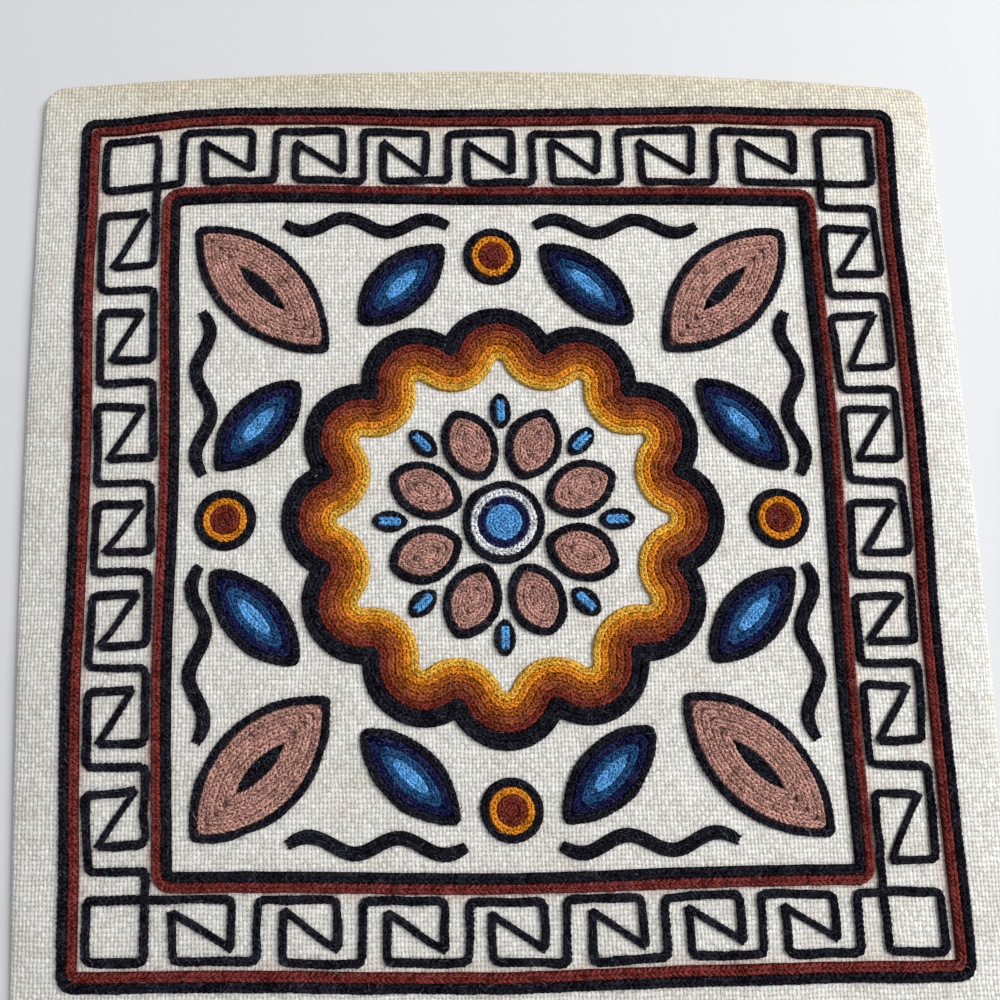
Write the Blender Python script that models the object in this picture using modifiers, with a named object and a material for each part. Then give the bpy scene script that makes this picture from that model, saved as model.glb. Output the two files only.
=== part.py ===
"""Embroidered pillow cover, empty and lying flat on its back.

Two cloth panels sewn edge to edge, with raised wool embroidery on the front: four frame
lines, a running key border between them and a plain flower design in the middle.
Metres, +Z up. The origin is under the middle of the cover, on the surface that it lies on.
"""
import math

import bmesh
import bpy

MM = 0.001
COVER_NAME = "pillow_cover"

# Cover outline: widest half way along each side, and a little out of square.
HALF_WIDTH = 226.0 * MM
HALF_HEIGHT = 229.3 * MM
SIDE_BOW = 3.7 * MM
TOP_BOW = 10.3 * MM
BOTTOM_BOW = 6.0 * MM
CORNER_RADIUS = 10.0 * MM
SKEW = -0.027

# Cloth, and how the empty cover stands up from the surface.
BACK_THICKNESS = 1.2 * MM
FRONT_THICKNESS = 1.4 * MM
SEAM_GAP = 0.3 * MM
RIM_TOP = BACK_THICKNESS + SEAM_GAP + FRONT_THICKNESS
LOFT = 5.0 * MM
LOFT_LENGTH = 6.0 * MM
MARGIN_WAVE_PEAK = 10.0 * MM
CORNER_FALL = 1.3 * MM
CORNER_FALL_REACH = 90.0 * MM

# Panel grid: lines close to the edge first, then an even spacing.
EDGE_LINES = (0.0, 1.5 * MM, 5.0 * MM, 10.0 * MM, 18.0 * MM)
INNER_LINES = 22

# Raised wool.
YARN_LIFT = 0.5 * MM
YARN_RELIEF = 1.5 * MM
FRAME_WIDTH = 4.1 * MM
KEY_WIDTH = 4.2 * MM
RIBBON_TOP = 0.62
RING_GAP = 0.3 * MM

# How far the cloth draws the sewn lines in near the corners.
UPPER_LEFT_DRAW = 5.0 * MM
UPPER_RIGHT_DIP = 1.4 * MM
LOWER_LIFT = 2.6 * MM

# Frame lines: distance of each centre line from the middle, along Y. Along X each is nearer.
FRAME_NARROWER = 4.5 * MM
FRAMES = (
    {"name": "frame_outer_black", "slot": "yarn_black", "at": 204.7 * MM, "corner": 5.0 * MM},
    {"name": "frame_outer_red", "slot": "yarn_red", "at": 200.3 * MM, "corner": 3.0 * MM},
    {"name": "frame_inner_red", "slot": "yarn_red", "at": 163.4 * MM, "corner": 6.0 * MM},
    {"name": "frame_inner_black", "slot": "yarn_black", "at": 159.0 * MM, "corner": 3.0 * MM},
)
FRAME_POINT_SPACING = 21.0 * MM

# Running key border: rails, and the spacing of its upright strokes round the cover.
KEY_INNER_RAIL = 168.5 * MM
KEY_BAND = 25.7 * MM
KEY_FIRST_STROKE = 12.5 * MM
KEY_SIDES = (
    {"name": "key_top", "turn": 0, "steps": (46, 44, 42, 42, 44, 49, 52)},
    {"name": "key_right", "turn": 1, "steps": (46, 46, 45, 44, 40, 46, 56)},
    {"name": "key_bottom", "turn": 2, "steps": (43, 43, 44, 44, 47, 46, 50)},
    {"name": "key_left", "turn": 3, "steps": (45, 44, 42, 42, 47, 46, 55)},
)
HOOK_OUTER = 0.76
HOOK_INNER = 0.235
HOOK_LOW = 0.20
HOOK_HIGH = 0.80
KEY_ROUNDING = 2.5 * MM
HOOK_ROUNDING = 3.1 * MM

# Flower design, from the middle out.
CENTRE_RADIUS = 19.5 * MM
PETALS = 8
PETAL = {"start": 21.0 * MM, "end": 58.0 * MM, "half_width": 13.5 * MM}
SEED = {"start": 44.0 * MM, "end": 62.5 * MM, "half_width": 5.5 * MM}
ROSETTE_LOBES = 12
LOBE_STEPS = 5
ROSETTE_TIP = 100.0 * MM
ROSETTE_CUSP = 87.0 * MM
ROSETTE_RINGS = (
    {"name": "rosette_black", "slot": "yarn_black", "outer": -4.0 * MM, "inner": 4.0 * MM},
    {"name": "rosette_rust", "slot": "yarn_rust", "outer": 4.3 * MM, "inner": 11.2 * MM},
    {"name": "rosette_amber", "slot": "yarn_amber", "outer": 11.5 * MM, "inner": 21.8 * MM},
)
CORNER_LEAF = {"start": 114.0 * MM, "end": 204.0 * MM, "half_width": 22.0 * MM}
BLUE_LEAF = {
    "root": (116.0 * MM, math.radians(9.5)),
    "tip": (138.0 * MM, math.radians(35.5)),
    "half_width": 14.5 * MM,
}
DISC = {"at": 130.0 * MM, "radius": 14.3 * MM}
TENDRIL = {
    "from_frame": 13.5 * MM,
    "start": 21.0 * MM,
    "end": 101.0 * MM,
    "sway": 3.6 * MM,
    "waves": 2.0,
    "width": 6.2 * MM,
    "points": 13,
}

WOOL = {
    "yarn_black": (0.008, 0.009, 0.016),
    "yarn_red": (0.165, 0.030, 0.021),
    "yarn_rust": (0.190, 0.055, 0.018),
    "yarn_amber": (0.620, 0.270, 0.035),
    "yarn_pink": (0.420, 0.215, 0.165),
    "yarn_blue": (0.030, 0.110, 0.300),
    "yarn_light_blue": (0.130, 0.330, 0.620),
}
CLOTH = (0.720, 0.690, 0.600)
FIBRE_ROUGHNESS = 0.9


# ---------------------------------------------------------------- the lie of the cloth


def half_width(y):
    """Half the cover's width at a height on its face."""
    return HALF_WIDTH - SIDE_BOW * (y / HALF_HEIGHT) ** 2


def half_height(x, y):
    """Half the cover's height at a distance across its face, for its upper or lower edge."""
    bow = TOP_BOW if y > 0.0 else BOTTOM_BOW
    return HALF_HEIGHT - bow * (x / HALF_WIDTH) ** 2


def soft_waves(x, y):
    """Broad unevenness of the whole face."""
    first = 0.42 * math.sin(x / 33.0e-3 + 0.35 * y / 33.0e-3 + 0.4)
    second = 0.34 * math.sin(y / 27.0e-3 - 0.40 * x / 27.0e-3 + 1.9)
    return (first + second) * MM


def margin_waves(x, y, inset):
    """Shallow puckers in the plain margin, strongest a little way in from the seam."""
    along = x if half_height(x, y) - abs(y) < half_width(y) - abs(x) else y
    swell = 0.75 * math.sin(along / 14.5e-3 + 0.8) + 0.45 * math.sin(along / 9.5e-3 + 2.1)
    reach = inset / MARGIN_WAVE_PEAK
    return swell * MM * reach * math.exp(1.0 - reach)


def cloth_top(x, y):
    """Height of the front panel's upper face."""
    inset = max(0.0, min(half_width(y) - abs(x), half_height(x, y) - abs(y)))
    rise = 1.0 - math.exp(-inset / LOFT_LENGTH)
    corner = math.hypot(x + HALF_WIDTH, y - HALF_HEIGHT) / CORNER_FALL_REACH
    fall = CORNER_FALL * math.exp(-corner * corner)
    height = RIM_TOP + (LOFT - RIM_TOP) * rise
    height += (soft_waves(x, y) - fall) * rise + 0.6 * margin_waves(x, y, inset)
    return max(height, RIM_TOP)


def ramp(distance, length):
    """A smooth step from 0 to 1."""
    return 1.0 / (1.0 + math.exp(-distance / length))


def hand_sway(x, y):
    """The small drift of hand-sewn lines, and their pull towards the middle near the corners."""
    drawn = UPPER_LEFT_DRAW * math.exp(-(((x + 0.190) / 0.032) ** 2)) * ramp(y - 0.135, 0.012)
    dip = UPPER_RIGHT_DIP * math.exp(-(((y - 0.155) / 0.025) ** 2)) * ramp(x - 0.040, 0.015)
    lift = LOWER_LIFT * (1.0 - math.exp(-(((x + 0.020) / 0.170) ** 4))) * ramp(-0.135 - y, 0.012)
    sway_x = 0.8 * MM * math.sin(y / 37.0e-3 + 0.6)
    sway_y = 0.9 * MM * math.cos((x + 0.115) / 33.4e-3)
    return x + sway_x + 0.15 * drawn, y + sway_y - drawn - dip + lift


def laid(x, y, height):
    """A place on the cover as it lies, its sides a little out of square."""
    return (x + SKEW * y, y, height)


# ---------------------------------------------------------------- outlines in the plane


def arc(centre, radius, start, end, steps):
    """Points along an arc, both ends included."""
    points = []
    for step in range(steps + 1):
        angle = start + (end - start) * step / steps
        points.append((centre[0] + radius * math.cos(angle), centre[1] + radius * math.sin(angle)))
    return points


def turned(points, angle):
    """Points turned about the middle of the cover."""
    c, s = math.cos(angle), math.sin(angle)
    return [(x * c - y * s, x * s + y * c) for x, y in points]


def lens(start, end, half_width_at_middle, steps):
    """A pointed leaf between two places, bounded by two equal arcs."""
    length = math.dist(start, end)
    radius = (length * length / 4 + half_width_at_middle ** 2) / (2 * half_width_at_middle)
    drop = radius - half_width_at_middle
    spread = math.asin(drop / radius)
    upper = arc((0.0, -drop), radius, spread, math.pi - spread, steps)[:-1]
    lower = [(-x, -y) for x, y in upper]
    angle = math.atan2(end[1] - start[1], end[0] - start[0])
    middle = ((start[0] + end[0]) / 2, (start[1] + end[1]) / 2)
    return [(middle[0] + x, middle[1] + y) for x, y in turned(upper + lower, angle)]


def radial_lens(size, angle, steps):
    """A leaf that points straight out from the middle of the cover."""
    leaf = lens((size["start"], 0.0), (size["end"], 0.0), size["half_width"], steps)
    return turned(leaf, angle)


def rosette(inset):
    """The lobed ring's outline, moved in by an even distance."""
    half = math.pi / ROSETTE_LOBES
    cusp = (ROSETTE_CUSP * math.cos(half), ROSETTE_CUSP * math.sin(half))
    centre = (ROSETTE_CUSP ** 2 - ROSETTE_TIP ** 2) / (2 * (cusp[0] - ROSETTE_TIP))
    radius = ROSETTE_TIP - centre - inset
    if inset < 0:
        along = centre * math.cos(half) + math.sqrt(radius ** 2 - (centre * math.sin(half)) ** 2)
        spread = math.atan2(along * math.sin(half), along * math.cos(half) - centre)
        lobe = arc((centre, 0.0), radius, -spread, spread, LOBE_STEPS)[:-1]
    else:
        spread = math.atan2(cusp[1], cusp[0] - centre)
        lobe = arc((centre, 0.0), radius, -spread, spread, LOBE_STEPS)
        back = math.pi + spread
        lobe += arc(cusp, inset, back, 2 * half + math.pi - spread, 2)[1:-1]
    outline = []
    for index in range(ROSETTE_LOBES):
        outline += turned(lobe, 2 * half * index)
    return outline


def cut_corners(points, cuts):
    """An open line with each inner corner cut off at its own distance."""
    line = [points[0]]
    for before, corner, after, cut in zip(points, points[1:], points[2:], cuts):
        for neighbour in (before, after):
            share = min(cut / math.dist(corner, neighbour), 0.42)
            x = corner[0] + (neighbour[0] - corner[0]) * share
            y = corner[1] + (neighbour[1] - corner[1]) * share
            line.append((x, y))
    line.append(points[-1])
    return line


def key_line(side):
    """Centre line of one side of the running key, with the loop at its far corner."""
    across_top = side["turn"] % 2 == 0
    rail = KEY_INNER_RAIL - (0.0 if across_top else FRAME_NARROWER)
    half_run = KEY_INNER_RAIL - (FRAME_NARROWER if across_top else 0.0)
    run = 2 * half_run
    clear = KEY_WIDTH / 2 + RING_GAP
    scale = (run - KEY_FIRST_STROKE) / sum(side["steps"])
    points = [(clear, 0.0)]
    cuts = []
    stroke = KEY_FIRST_STROKE
    for step in side["steps"]:
        pitch = step * scale
        outer = stroke + HOOK_OUTER * pitch
        inner = stroke + HOOK_INNER * pitch
        points += [(stroke, 0.0), (stroke, KEY_BAND), (outer, KEY_BAND)]
        points += [(outer, HOOK_LOW * KEY_BAND), (inner, HOOK_HIGH * KEY_BAND), (inner, 0.0)]
        cuts += [KEY_ROUNDING] * 3 + [HOOK_ROUNDING] * 2 + [KEY_ROUNDING]
        stroke += pitch
    far = run + KEY_BAND
    points += [(far, 0.0), (far, KEY_BAND), (run, KEY_BAND), (run, clear)]
    cuts += [KEY_ROUNDING] * 3
    line = cut_corners(points, cuts)
    placed = [(s - half_run, rail + t) for s, t in line]
    return turned(placed, -side["turn"] * math.pi / 2)


def frame_line(frame):
    """Centre line of one rectangular frame with rounded corners."""
    y_half = frame["at"]
    x_half = y_half - FRAME_NARROWER
    radius = frame["corner"]
    line = []
    for quarter in range(4):
        sign_x = (1, -1, -1, 1)[quarter]
        sign_y = (1, 1, -1, -1)[quarter]
        centre = (sign_x * (x_half - radius), sign_y * (y_half - radius))
        start = quarter * math.pi / 2
        corner = arc(centre, radius, start, start + math.pi / 2, 3)
        if line:
            line += straight(line[-1], corner[0])
        line += corner
    line += straight(line[-1], line[0])
    return line


def straight(start, end):
    """Points between two places, neither end included."""
    pieces = max(1, round(math.dist(start, end) / FRAME_POINT_SPACING))
    points = []
    for piece in range(1, pieces):
        share = piece / pieces
        points.append((start[0] + (end[0] - start[0]) * share, start[1] + (end[1] - start[1]) * share))
    return points


def tendril_line(quarter, mirrored):
    """A wavy line beside the inner frame, from beside a disc towards a corner."""
    x_reach = quarter % 2 == 1
    frame_at = FRAMES[3]["at"] - (FRAME_NARROWER if x_reach else 0.0)
    line = []
    for step in range(TENDRIL["points"]):
        share = step / (TENDRIL["points"] - 1)
        s = TENDRIL["start"] + (TENDRIL["end"] - TENDRIL["start"]) * share
        sway = TENDRIL["sway"] * math.sin(share * TENDRIL["waves"] * math.tau)
        line.append((-s if mirrored else s, frame_at - TENDRIL["from_frame"] + sway))
    return turned(line, -quarter * math.pi / 2)


# ---------------------------------------------------------------- Blender objects


def clear_scene():
    """Start from an empty scene."""
    for old in list(bpy.data.objects):
        bpy.data.objects.remove(old, do_unlink=True)


def new_collection(name):
    """A collection linked to the scene."""
    collection = bpy.data.collections.new(name)
    bpy.context.scene.collection.children.link(collection)
    return collection


def plain_material(name, colour):
    """A plain, matt Principled material for one piece."""
    material = bpy.data.materials.new(name)
    material.use_nodes = True
    shader = material.node_tree.nodes["Principled BSDF"]
    shader.inputs["Base Color"].default_value = (*colour, 1.0)
    shader.inputs["Roughness"].default_value = FIBRE_ROUGHNESS
    material.diffuse_color = (*colour, 1.0)
    return material


def curve_object(name, lines, cyclic, dimensions, collection):
    """A curve object with one POLY spline for each line of 3D points."""
    curve = bpy.data.curves.new(name, "CURVE")
    curve.dimensions = dimensions
    for line in lines:
        spline = curve.splines.new("POLY")
        spline.points.add(len(line) - 1)
        for point, place in zip(spline.points, line):
            point.co = (*place, 1.0)
        spline.use_cyclic_u = cyclic
    item = bpy.data.objects.new(name, curve)
    collection.objects.link(item)
    return item


def to_mesh_object(item, collection, material):
    """Replace a curve object by a closed mesh object that has its own material."""
    name = item.name
    bpy.context.view_layer.update()
    depsgraph = bpy.context.evaluated_depsgraph_get()
    mesh = bpy.data.meshes.new_from_object(item.evaluated_get(depsgraph))
    shape = bmesh.new()
    shape.from_mesh(mesh)
    bmesh.ops.remove_doubles(shape, verts=shape.verts, dist=0.00002)
    bmesh.ops.recalc_face_normals(shape, faces=shape.faces)
    shape.to_mesh(mesh)
    shape.free()
    bpy.data.objects.remove(item, do_unlink=True)
    mesh.name = name
    mesh.materials.clear()
    mesh.materials.append(material)
    solid = bpy.data.objects.new(name, mesh)
    collection.objects.link(solid)
    return solid


def ribbon_profile(name, width, guides):
    """Cross-section of a raised row: flat below, narrower on top."""
    low, top = width / 2, width / 2 * RIBBON_TOP
    section = [(-low, 0.0, 0.0), (low, 0.0, 0.0), (top, YARN_RELIEF, 0.0), (-top, YARN_RELIEF, 0.0)]
    profile = curve_object(name, [section], True, "2D", guides)
    profile.hide_render = True
    profile.display_type = "WIRE"
    return profile


def raised_row(name, line, cyclic, profile, slot, collection):
    """A raised row of wool that follows a line over the cloth."""
    swayed = [hand_sway(x, y) for x, y in line]
    places = [laid(x, y, cloth_top(x, y) + YARN_LIFT) for x, y in swayed]
    item = curve_object(name, [places], cyclic, "3D", collection)
    item.data.bevel_mode = "OBJECT"
    item.data.bevel_object = profile
    item.data.use_fill_caps = True
    item.data.twist_mode = "Z_UP"
    return to_mesh_object(item, collection, plain_material(name, WOOL[slot]))


def raised_patch(name, outlines, slot, collection):
    """A flat-topped patch of wool inside an outline, or between two of them."""
    lines = [[(x, y, 0.0) for x, y in outline] for outline in outlines]
    item = curve_object(name, lines, True, "2D", collection)
    item.data.fill_mode = "BOTH"
    item.data.extrude = YARN_RELIEF / 2
    patch = to_mesh_object(item, collection, plain_material(name, WOOL[slot]))
    for vertex in patch.data.vertices:
        x, y = hand_sway(vertex.co.x, vertex.co.y)
        base = cloth_top(x, y) + YARN_LIFT
        vertex.co = laid(x, y, base + YARN_RELIEF / 2 + vertex.co.z)
    return patch


def panel_lines(half):
    """Places of the panel's grid lines on one axis, for a half size."""
    inner = half - EDGE_LINES[-1]
    lines = [-half + inset for inset in EDGE_LINES[:-1]]
    for step in range(INNER_LINES + 1):
        lines.append(-inner + 2 * inner * step / INNER_LINES)
    lines += [half - inset for inset in reversed(EDGE_LINES[:-1])]
    return lines


def round_corner(x, y, x_half, y_half):
    """Pull the square corner of the outline onto a quarter circle."""
    over_x = abs(x) - (x_half - CORNER_RADIUS)
    over_y = abs(y) - (y_half - CORNER_RADIUS)
    if over_x <= 0 or over_y <= 0:
        return x, y
    shrink = max(over_x, over_y) / math.hypot(over_x, over_y)
    new_x = x_half - CORNER_RADIUS + over_x * shrink
    new_y = y_half - CORNER_RADIUS + over_y * shrink
    return math.copysign(new_x, x), math.copysign(new_y, y)


def panel_place(across, up):
    """Where a point of the straight-sided grid lies on the bowed panel."""
    u, v = across / HALF_WIDTH, up / HALF_HEIGHT
    x_half = half_width(up)
    y_half = half_height(across, up)
    return round_corner(u * x_half, v * y_half, x_half, y_half)


def add_front_panel(collection):
    """The front: one sheet that rises from the seam, with its soft unevenness."""
    across = panel_lines(HALF_WIDTH)
    up = panel_lines(HALF_HEIGHT)
    cells = len(across) - 1
    bpy.ops.mesh.primitive_grid_add(x_subdivisions=cells, y_subdivisions=cells, size=cells)
    panel = bpy.context.active_object
    for vertex in panel.data.vertices:
        column = round(vertex.co.x + cells / 2)
        row = round(vertex.co.y + cells / 2)
        x, y = panel_place(across[column], up[row])
        vertex.co = laid(x, y, cloth_top(x, y))
    finish_panel(panel, "front_panel", FRONT_THICKNESS, collection)


def add_back_panel(collection):
    """The back: one plain sheet that lies flat on the surface."""
    lines = panel_lines(HALF_WIDTH)
    cells = len(lines) - 1
    ups = panel_lines(HALF_HEIGHT)
    rim = [(lines[i], ups[0]) for i in range(cells)]
    rim += [(lines[-1], ups[i]) for i in range(cells)]
    rim += [(lines[-1 - i], ups[-1]) for i in range(cells)]
    rim += [(lines[0], ups[-1 - i]) for i in range(cells)]
    outline = [laid(*panel_place(x, y), 0.0) for x, y in rim]
    item = curve_object("back_panel", [outline], True, "2D", collection)
    item.data.fill_mode = "BOTH"
    item.data.extrude = BACK_THICKNESS / 2
    panel = to_mesh_object(item, collection, plain_material("back_panel", CLOTH))
    for vertex in panel.data.vertices:
        vertex.co.z += BACK_THICKNESS / 2


def finish_panel(panel, name, thickness, collection):
    """Name a panel, give it its thickness and put it in the cover's collection."""
    panel.name = name
    panel.data.name = name
    for old in panel.users_collection:
        old.objects.unlink(panel)
    collection.objects.link(panel)
    sheet = panel.modifiers.new("thickness", "SOLIDIFY")
    sheet.thickness = thickness
    sheet.offset = -1.0
    panel.data.materials.append(plain_material(name, CLOTH))
    panel.data.shade_smooth()


# ---------------------------------------------------------------- the cover


def add_border(collection, guides):
    """Four frame lines and the running key between them."""
    frame_profile = ribbon_profile("frame_section", FRAME_WIDTH, guides)
    key_profile = ribbon_profile("key_section", KEY_WIDTH, guides)
    for frame in FRAMES:
        raised_row(frame["name"], frame_line(frame), True, frame_profile, frame["slot"], collection)
    for side in KEY_SIDES:
        raised_row(side["name"], key_line(side), False, key_profile, "yarn_black", collection)


def add_flower(collection):
    """Centre disc, petals, seeds and the lobed ring round them."""
    centre = arc((0.0, 0.0), CENTRE_RADIUS, 0.0, math.tau, 24)[:-1]
    raised_patch("flower_centre", [centre], "yarn_light_blue", collection)
    for index in range(PETALS):
        angle = math.tau * index / PETALS
        petal = radial_lens(PETAL, angle + math.pi / PETALS, 6)
        raised_patch(f"petal_{index + 1}", [petal], "yarn_pink", collection)
        seed = radial_lens(SEED, angle, 5)
        raised_patch(f"seed_{index + 1}", [seed], "yarn_light_blue", collection)
    for ring in ROSETTE_RINGS:
        outlines = [rosette(ring["outer"]), rosette(ring["inner"])]
        raised_patch(ring["name"], outlines, ring["slot"], collection)


def add_corner_motifs(collection, guides):
    """In each quarter: a large leaf, two blue leaves, a disc and two wavy lines."""
    tendril_profile = ribbon_profile("tendril_section", TENDRIL["width"], guides)
    for quarter in range(4):
        number = quarter + 1
        diagonal = math.pi / 4 + quarter * math.pi / 2
        leaf = radial_lens(CORNER_LEAF, diagonal, 8)
        raised_patch(f"corner_leaf_{number}", [leaf], "yarn_pink", collection)
        for side, sign in (("a", -1), ("b", 1)):
            ends = []
            for distance, angle in (BLUE_LEAF["root"], BLUE_LEAF["tip"]):
                ends.append(turned([(distance, 0.0)], diagonal + sign * angle)[0])
            blue = lens(ends[0], ends[1], BLUE_LEAF["half_width"], 7)
            raised_patch(f"blue_leaf_{number}{side}", [blue], "yarn_blue", collection)
            line = tendril_line(quarter, sign < 0)
            raised_row(f"tendril_{number}{side}", line, False, tendril_profile, "yarn_black", collection)
        disc = arc((DISC["at"], 0.0), DISC["radius"], 0.0, math.tau, 18)[:-1]
        raised_patch(f"disc_{number}", [turned(disc, quarter * math.pi / 2)], "yarn_amber", collection)


def main():
    """Build the cover."""
    clear_scene()
    cover = new_collection(COVER_NAME)
    guides = new_collection("guides")
    add_back_panel(cover)
    add_front_panel(cover)
    add_border(cover, guides)
    add_flower(cover)
    add_corner_motifs(cover, guides)


main()
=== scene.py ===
import math

import bpy
import numpy as np
from mathutils.kdtree import KDTree
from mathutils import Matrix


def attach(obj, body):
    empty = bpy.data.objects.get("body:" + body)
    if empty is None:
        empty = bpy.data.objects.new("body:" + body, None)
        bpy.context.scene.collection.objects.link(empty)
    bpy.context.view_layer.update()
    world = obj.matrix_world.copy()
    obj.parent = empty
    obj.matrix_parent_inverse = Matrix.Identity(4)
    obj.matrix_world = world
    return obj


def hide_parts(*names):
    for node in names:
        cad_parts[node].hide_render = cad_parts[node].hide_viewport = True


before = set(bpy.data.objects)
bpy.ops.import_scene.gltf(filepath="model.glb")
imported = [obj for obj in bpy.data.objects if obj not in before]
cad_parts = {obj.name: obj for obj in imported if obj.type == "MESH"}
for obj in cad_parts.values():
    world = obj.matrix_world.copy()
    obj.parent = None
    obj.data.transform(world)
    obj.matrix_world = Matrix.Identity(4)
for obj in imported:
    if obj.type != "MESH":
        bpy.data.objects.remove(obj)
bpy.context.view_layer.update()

# Embroidered pillow cover, empty and laid flat: two cloth sheets and the wool chain stitch
# on the front. Metres. The sizes and lines of the CAD solids are repeated here.

MM = 0.001

# Cover outline and the way the cloth lies, as in the solids.
HALF_WIDTH = 226.0 * MM
HALF_HEIGHT = 229.3 * MM
SIDE_BOW = 3.7 * MM
TOP_BOW = 10.3 * MM
BOTTOM_BOW = 6.0 * MM
CORNER_RADIUS = 10.0 * MM
SKEW = -0.027
RIM_TOP = 2.9 * MM
LOFT = 5.0 * MM
LOFT_LENGTH = 6.0 * MM
MARGIN_WAVE_PEAK = 10.0 * MM
CORNER_FALL = 1.3 * MM
CORNER_FALL_REACH = 90.0 * MM
UPPER_LEFT_DRAW = 5.0 * MM
UPPER_RIGHT_DIP = 1.4 * MM
LOWER_LIFT = 2.6 * MM

# Soft waves of the front: height in mm, length, slant and phase. The first runs along X.
SOFT_WAVES = ((0.42, 33.0 * MM, 0.35, 0.4), (0.34, 27.0 * MM, -0.40, 1.9))
# Waves along the margins: height in mm, length and phase; then their share of the height.
MARGIN_WAVES = ((0.75, 14.5 * MM, 0.8), (0.45, 9.5 * MM, 2.1))
MARGIN_SHARE = 0.6

# Where the sewn lines are drawn in: middle and reach along the line, start and ramp across it.
UPPER_LEFT_AT = (-190.0 * MM, 32.0 * MM, 135.0 * MM, 12.0 * MM)
UPPER_RIGHT_AT = (155.0 * MM, 25.0 * MM, 40.0 * MM, 15.0 * MM)
LOWER_AT = (-20.0 * MM, 170.0 * MM, 135.0 * MM, 12.0 * MM)
DRAWN_SIDEWAYS = 0.15

# Frame lines: distance of each centre line from the middle along Y, and corner radius.
FRAME_NARROWER = 4.5 * MM
FRAMES = (
    ("frame_outer_black", "black", 204.7 * MM, 5.0 * MM),
    ("frame_outer_red", "red", 200.3 * MM, 1.2 * MM),
    ("frame_inner_red", "red", 163.4 * MM, 6.0 * MM),
    ("frame_inner_black", "black", 159.0 * MM, 1.9 * MM),
)
FRAME_ROW = 4.6 * MM

# Running key border.
KEY_INNER_RAIL = 168.5 * MM
KEY_BAND = 25.7 * MM
KEY_FIRST_STROKE = 12.5 * MM
KEY_STEPS = (
    (46, 44, 42, 42, 44, 49, 52),
    (46, 46, 45, 44, 40, 46, 56),
    (43, 43, 44, 44, 47, 46, 50),
    (45, 44, 42, 42, 47, 46, 55),
)
HOOK_OUTER = 0.76
HOOK_INNER = 0.235
HOOK_LOW = 0.20
HOOK_HIGH = 0.80
KEY_ROUNDING = 1.8 * MM
KEY_JITTER = 0.45 * MM
KEY_ROW = 4.1 * MM
HOOK_ROW = 3.5 * MM
HOOK_NOSE = 0.7 * MM

CROSSING_HALF = 1.5 * MM
CROSSING_RISE = 1.0 * MM
CROSSING_REACH = 2.4 * MM

# Flower design.
OUTLINE_ROW = 4.0 * MM
FILL_ROW = 3.5 * MM
FILL_OVERLAP = 1.14
CENTRE_RADIUS = 19.5 * MM
PETALS = 8
PETAL = (21.0 * MM, 58.0 * MM, 13.5 * MM)
SEED = (44.0 * MM, 62.5 * MM, 5.5 * MM)
SEED_INSET = 1.6 * MM
SEED_ROW = 3.2 * MM
SEED_CORE_START = 4.0 * MM
SEED_CORE_ROW = 4.7 * MM
# Rows of the centre disc: colour and radius.
CENTRE_ROWS = (
    ("white", 13.9 * MM),
    ("navy", 10.4 * MM),
    ("light_blue", 6.9 * MM),
    ("light_blue", 3.6 * MM),
    ("light_blue", 1.0 * MM),
)
ROSETTE_LOBES = 12
ROSETTE_TIP = 100.0 * MM
ROSETTE_CUSP = 87.0 * MM
ROSETTE_ROWS = (
    ("black", -2.0 * MM),
    ("black", 1.9 * MM),
    ("maroon", 5.6 * MM),
    ("rust", 9.1 * MM),
    ("orange", 12.6 * MM),
    ("amber", 16.1 * MM),
    ("gold", 19.6 * MM),
)
ROSETTE_OUTLINE_ROW = 4.2 * MM
# A short black row closes each bay between two lobes.
BAY_OUT = 4.5 * MM
BAY_IN = 1.5 * MM
BAY_ROW = 3.0 * MM
CORNER_LEAF = (114.0 * MM, 204.0 * MM, 22.0 * MM)
BLUE_LEAF_ROOT = (116.0 * MM, math.radians(9.5))
BLUE_LEAF_TIP = (138.0 * MM, math.radians(35.5))
BLUE_LEAF_HALF = 14.5 * MM
DISC_AT = 130.0 * MM
DISC_RADIUS = 14.3 * MM
# Rows of a small disc: colour, radius and width.
DISC_ROWS = (
    ("black", DISC_RADIUS - OUTLINE_ROW / 2, OUTLINE_ROW),
    ("amber", 8.7 * MM, 3.7 * MM),
    ("maroon", 5.1 * MM, 3.7 * MM),
    ("maroon", 1.7 * MM, 3.5 * MM),
)
DISC_OVERLAP = 1.04
TENDRIL_FROM_FRAME = 13.5 * MM
TENDRIL_START = 21.0 * MM
TENDRIL_END = 101.0 * MM
TENDRIL_SWAY = 3.6 * MM
TENDRIL_ROW = 3.3 * MM
TENDRIL_TAPER = 9.0
TENDRIL_END_SHARE = 0.45

# One chain stitch: how its two strands run, in steps from its start to its end.
LINK_PITCH = 2.5 * MM
LINK_REACH = np.array((-0.32, 0.18, 0.72, 1.14, 1.46))
LINK_SPREAD = np.array((0.14, 0.50, 0.94, 1.00, 0.82))
LINK_RISE = np.array((1.02, 1.27, 1.02, 0.68, 0.38)) * MM
LINK_THICK = np.array((0.74, 1.00, 1.02, 0.96, 0.80))
STRAND_SIDES = 4
STRAND_RADIUS = 0.215
ROW_SWELL = 0.07
ROW_WANDER = 0.22 * MM
DRIFT_LENGTH = 8.0 * MM
USUAL_ROW = 3.6 * MM
PACKED_FREEDOM = 0.4
START_JITTER = 0.07
PLACE_JITTER = 0.05 * MM
# Strips under the rows: height above the cloth; a tone that darkens their wool as painted shade between
# the strands; half width in row widths.
UNDERSIDE = 0.35 * MM
UNDERSIDE_SHADE_TONE = -5.0
UNDERSIDE_SHARE = 0.40
UNDERSIDE_SHARE_PACKED = 0.50

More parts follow.
